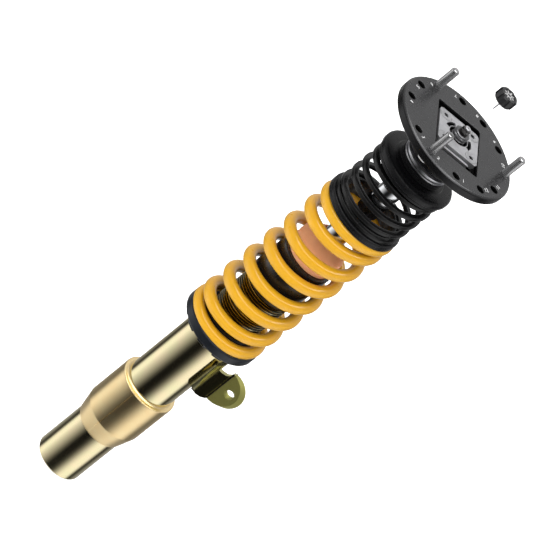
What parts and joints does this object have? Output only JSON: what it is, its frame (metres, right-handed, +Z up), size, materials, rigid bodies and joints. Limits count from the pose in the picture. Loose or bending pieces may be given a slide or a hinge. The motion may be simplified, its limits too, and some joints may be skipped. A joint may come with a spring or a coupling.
{
  "type": "coilover",
  "caption": "Threaded front strut with a yellow main spring over it, a flat-wire helper spring, a bump stop, and a round camber top mount with three studs.",
  "frame": {"origin": "centre of the strut tube's bottom face", "axes": "+Z up along the strut axis to the top mount, +X to the anti-roll-bar bracket, -Y to the bracket ear's flat side"},
  "size_m": [0.1329, 0.1308, 0.6085],
  "materials": {
    "gold_passivated": "glossy yellow-passivated zinc",
    "collar_gold": "satin yellow-passivated zinc",
    "bracket_gold": "glossy olive passivated zinc",
    "bright_steel": "ground steel",
    "chrome_rod": "hard chrome, polished",
    "dark_steel": "black oxide, oiled",
    "sintered_steel": "sintered, fine matt",
    "perch_anodised": "charcoal, matt",
    "spring_yellow": "glossy powder coat",
    "spring_black": "satin black powder coat",
    "mount_black": "black anodised, satin",
    "plate_anodised": "dark grey anodised, fine matt",
    "camber_silver": "bead-blasted, clear anodised",
    "sleeve_black": "glossy black",
    "bump_foam": "salmon microcellular foam, matt",
    "seal_rubber": "matt",
    "ptfe_liner": "matt",
    "zinc_stud": "bright zinc",
    "knob_black": "dark anodised, fine matt"
  },
  "bodies": {
    "housing": {"strut_tube": "gold_passivated", "base_cap": "gold_passivated", "knuckle_collar": "collar_gold", "sway_bar_bracket": "bracket_gold", "pressure_tube": "bright_steel", "base_valve": "sintered_steel", "rod_guide": "sintered_steel", "rod_seal": "seal_rubber", "gland_nut": "dark_steel", "wiper_ring": "seal_rubber"},
    "perch": {"spring_plate": "perch_anodised", "main_spring": "spring_yellow"},
    "adjuster": {"adjuster_ring": "perch_anodised", "grub_screw": "bright_steel"},
    "adapter": {"spring_adapter": "mount_black", "helper_spring": "spring_black"},
    "bumper": {"bump_stop": "bump_foam", "dust_sleeve": "sleeve_black"},
    "seat": {"upper_spring_seat": "mount_black", "thrust_washer_lower": "bright_steel"},
    "needles": {"thrust_needles": "bright_steel", "needle_cage": "bright_steel"},
    "rod": {"piston_rod": "chrome_rod", "piston": "sintered_steel", "piston_band": "ptfe_liner", "piston_nut": "dark_steel", "rebound_bumper": "seal_rubber", "thrust_washer_upper": "bright_steel", "distance_sleeve": "dark_steel", "uniball": "chrome_rod", "top_nut": "dark_steel"},
    "liner": {"uniball_liner": "ptfe_liner"},
    "carrier": {"bearing_housing": "mount_black", "uniball_race": "bright_steel", "race_circlip": "dark_steel", "camber_plate": "camber_silver", "camber_screws": "zinc_stud"},
    "plate": {"top_plate": "plate_anodised", "mount_studs": "zinc_stud"},
    "rebound_screw": {"adjuster_screw": "bright_steel"},
    "knob": {"adjuster_knob": "knob_black", "knob_key": "bright_steel", "knob_screw": "dark_steel"}
  },
  "joints": [
    {"name": "strut_travel", "type": "slide", "parent": "housing", "child": "seat", "axis": [0, 0, -1], "range_m": [0, 0.08], "stiffness_N_per_m": 30000, "springref_m": -0.02},
    {"name": "steering_swivel", "type": "hinge", "parent": "seat", "child": "rod", "pos_m": [0, 0, 0.507], "axis": [0, 0, 1], "range_deg": [-45, 45]},
    {"name": "needle_turn", "type": "hinge", "parent": "seat", "child": "needles", "pos_m": [0, 0, 0.507], "axis": [0, 0, 1], "range_deg": [-23, 23]},
    {"name": "ball_tilt_x", "type": "hinge", "parent": "rod", "child": "liner", "pos_m": [0, 0, 0.528], "axis": [1, 0, 0], "range_deg": [-4, 4]},
    {"name": "ball_tilt_y", "type": "hinge", "parent": "liner", "child": "carrier", "pos_m": [0, 0, 0.528], "axis": [0, 1, 0], "range_deg": [-4, 4]},
    {"name": "camber_slide", "type": "slide", "parent": "carrier", "child": "plate", "axis": [-0.4226, 0.9063, 0], "range_m": [-0.005, 0.005]},
    {"name": "rebound_turn", "type": "hinge", "parent": "rod", "child": "rebound_screw", "pos_m": [0, 0, 0.55], "axis": [0, 0, 1], "range_deg": [0, 337.5]},
    {"name": "knob_lift", "type": "slide", "parent": "rebound_screw", "child": "knob", "axis": [0, 0, -1], "range_m": [0, 0.0407]},
    {"name": "perch_travel", "type": "slide", "parent": "housing", "child": "perch", "axis": [0, 0, 1], "range_m": [0, 0.009]},
    {"name": "adjuster_turn", "type": "hinge", "parent": "perch", "child": "adjuster", "pos_m": [0, 0, 0.235], "axis": [0, 0, 1], "range_deg": [0, 1081]},
    {"name": "adapter_travel", "type": "slide", "parent": "perch", "child": "adapter", "axis": [0, 0, -1], "range_m": [0, 0.0641], "deforming": ["main_spring", "helper_spring"]},
    {"name": "bumper_slide", "type": "slide", "parent": "housing", "child": "bumper", "axis": [0, 0, 1], "range_m": [0, 0.015]}
  ],
  "couplings": [
    {"joint": "adjuster_turn", "follows": "perch_travel", "rad_per_m": 2094.4},
    {"joint": "adapter_travel", "follows": "strut_travel", "ratio": 0.8},
    {"joint": "needle_turn", "follows": "steering_swivel", "ratio": 0.5}
  ]
}
